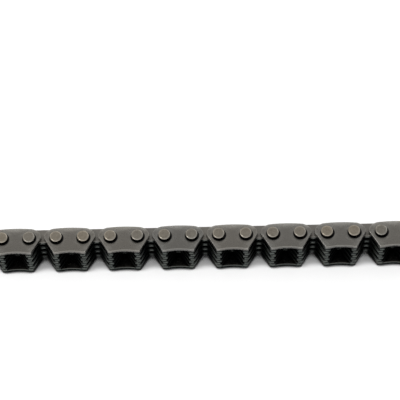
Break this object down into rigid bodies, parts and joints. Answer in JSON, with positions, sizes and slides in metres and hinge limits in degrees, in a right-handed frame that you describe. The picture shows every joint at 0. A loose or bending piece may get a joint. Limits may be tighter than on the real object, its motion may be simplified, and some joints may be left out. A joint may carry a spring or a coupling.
{
  "type": "timing chain",
  "caption": "Run of inverted-tooth timing chain: interleaved toothed steel plates and side guide plates that hinge on round pins, with open pin bores at both ends.",
  "frame": {"origin": "midway along the run and midway between tooth tips and backs, on the surface that the rear pin ends rest on", "axes": "+X along the chain, +Y from the tooth tips to the smooth backs, +Z along the pins towards the front guide plates"},
  "size_m": [0.1132, 0.0068, 0.0108],
  "materials": {
    "guide_plate_steel": "dark heat-treated steel, tumbled, lightly oiled",
    "tooth_plate_steel": "dark heat-treated steel, blanked edges, lightly oiled",
    "pin_steel": "ground and hardened steel with rounded ends"
  },
  "bodies": {
    "inner_link_1": {"inner_row_outer_plates_1": "tooth_plate_steel", "inner_row_middle_plates_1": "tooth_plate_steel"},
    "inner_link_2": {"inner_row_outer_plates_2": "tooth_plate_steel", "inner_row_middle_plates_2": "tooth_plate_steel"},
    "inner_link_3": {"inner_row_outer_plates_3": "tooth_plate_steel", "inner_row_middle_plates_3": "tooth_plate_steel"},
    "inner_link_4": {"inner_row_outer_plates_4": "tooth_plate_steel", "inner_row_middle_plates_4": "tooth_plate_steel"},
    "inner_link_5": {"inner_row_outer_plates_5": "tooth_plate_steel", "inner_row_middle_plates_5": "tooth_plate_steel"},
    "inner_link_6": {"inner_row_outer_plates_6": "tooth_plate_steel", "inner_row_middle_plates_6": "tooth_plate_steel"},
    "inner_link_7": {"inner_row_outer_plates_7": "tooth_plate_steel", "inner_row_middle_plates_7": "tooth_plate_steel"},
    "inner_link_8": {"inner_row_outer_plates_8": "tooth_plate_steel", "inner_row_middle_plates_8": "tooth_plate_steel"},
    "inner_link_9": {"inner_row_outer_plates_9": "tooth_plate_steel", "inner_row_middle_plates_9": "tooth_plate_steel"},
    "guide_link_1": {"front_guide_plate_1": "guide_plate_steel", "rear_guide_plate_1": "guide_plate_steel", "guide_row_tooth_plates_1": "tooth_plate_steel", "pin_01": "pin_steel", "pin_02": "pin_steel"},
    "guide_link_2": {"front_guide_plate_2": "guide_plate_steel", "rear_guide_plate_2": "guide_plate_steel", "guide_row_tooth_plates_2": "tooth_plate_steel", "pin_03": "pin_steel", "pin_04": "pin_steel"},
    "guide_link_3": {"front_guide_plate_3": "guide_plate_steel", "rear_guide_plate_3": "guide_plate_steel", "guide_row_tooth_plates_3": "tooth_plate_steel", "pin_05": "pin_steel", "pin_06": "pin_steel"},
    "guide_link_4": {"front_guide_plate_4": "guide_plate_steel", "rear_guide_plate_4": "guide_plate_steel", "guide_row_tooth_plates_4": "tooth_plate_steel", "pin_07": "pin_steel", "pin_08": "pin_steel"},
    "guide_link_5": {"front_guide_plate_5": "guide_plate_steel", "rear_guide_plate_5": "guide_plate_steel", "guide_row_tooth_plates_5": "tooth_plate_steel", "pin_09": "pin_steel", "pin_10": "pin_steel"},
    "guide_link_6": {"front_guide_plate_6": "guide_plate_steel", "rear_guide_plate_6": "guide_plate_steel", "guide_row_tooth_plates_6": "tooth_plate_steel", "pin_11": "pin_steel", "pin_12": "pin_steel"},
    "guide_link_7": {"front_guide_plate_7": "guide_plate_steel", "rear_guide_plate_7": "guide_plate_steel", "guide_row_tooth_plates_7": "tooth_plate_steel", "pin_13": "pin_steel", "pin_14": "pin_steel"},
    "guide_link_8": {"front_guide_plate_8": "guide_plate_steel", "rear_guide_plate_8": "guide_plate_steel", "guide_row_tooth_plates_8": "tooth_plate_steel", "pin_15": "pin_steel", "pin_16": "pin_steel"}
  },
  "joints": [
    {"name": "pivot_01", "type": "hinge", "parent": "guide_link_1", "child": "inner_link_1", "pos_m": [-0.04763, 0.00063, 0.0054], "axis": [0, 0, 1], "range_deg": [-10, 20]},
    {"name": "pivot_02", "type": "hinge", "parent": "inner_link_2", "child": "guide_link_1", "pos_m": [-0.04127, 0.00063, 0.0054], "axis": [0, 0, 1], "range_deg": [-10, 20]},
    {"name": "pivot_03", "type": "hinge", "parent": "guide_link_2", "child": "inner_link_2", "pos_m": [-0.03492, 0.00063, 0.0054], "axis": [0, 0, 1], "range_deg": [-10, 20]},
    {"name": "pivot_04", "type": "hinge", "parent": "inner_link_3", "child": "guide_link_2", "pos_m": [-0.02857, 0.00063, 0.0054], "axis": [0, 0, 1], "range_deg": [-10, 20]},
    {"name": "pivot_05", "type": "hinge", "parent": "guide_link_3", "child": "inner_link_3", "pos_m": [-0.02223, 0.00063, 0.0054], "axis": [0, 0, 1], "range_deg": [-10, 20]},
    {"name": "pivot_06", "type": "hinge", "parent": "inner_link_4", "child": "guide_link_3", "pos_m": [-0.01588, 0.00063, 0.0054], "axis": [0, 0, 1], "range_deg": [-10, 20]},
    {"name": "pivot_07", "type": "hinge", "parent": "guide_link_4", "child": "inner_link_4", "pos_m": [-0.00953, 0.00063, 0.0054], "axis": [0, 0, 1], "range_deg": [-10, 20]},
    {"name": "pivot_08", "type": "hinge", "parent": "inner_link_5", "child": "guide_link_4", "pos_m": [-0.00317, 0.00063, 0.0054], "axis": [0, 0, 1], "range_deg": [-10, 20]},
    {"name": "pivot_09", "type": "hinge", "parent": "inner_link_5", "child": "guide_link_5", "pos_m": [0.00317, 0.00063, 0.0054], "axis": [0, 0, -1], "range_deg": [-10, 20]},
    {"name": "pivot_10", "type": "hinge", "parent": "guide_link_5", "child": "inner_link_6", "pos_m": [0.00953, 0.00063, 0.0054], "axis": [0, 0, -1], "range_deg": [-10, 20]},
    {"name": "pivot_11", "type": "hinge", "parent": "inner_link_6", "child": "guide_link_6", "pos_m": [0.01588, 0.00063, 0.0054], "axis": [0, 0, -1], "range_deg": [-10, 20]},
    {"name": "pivot_12", "type": "hinge", "parent": "guide_link_6", "child": "inner_link_7", "pos_m": [0.02223, 0.00063, 0.0054], "axis": [0, 0, -1], "range_deg": [-10, 20]},
    {"name": "pivot_13", "type": "hinge", "parent": "inner_link_7", "child": "guide_link_7", "pos_m": [0.02857, 0.00063, 0.0054], "axis": [0, 0, -1], "range_deg": [-10, 20]},
    {"name": "pivot_14", "type": "hinge", "parent": "guide_link_7", "child": "inner_link_8", "pos_m": [0.03492, 0.00063, 0.0054], "axis": [0, 0, -1], "range_deg": [-10, 20]},
    {"name": "pivot_15", "type": "hinge", "parent": "inner_link_8", "child": "guide_link_8", "pos_m": [0.04127, 0.00063, 0.0054], "axis": [0, 0, -1], "range_deg": [-10, 20]},
    {"name": "pivot_16", "type": "hinge", "parent": "guide_link_8", "child": "inner_link_9", "pos_m": [0.04763, 0.00063, 0.0054], "axis": [0, 0, -1], "range_deg": [-10, 20]}
  ]
}
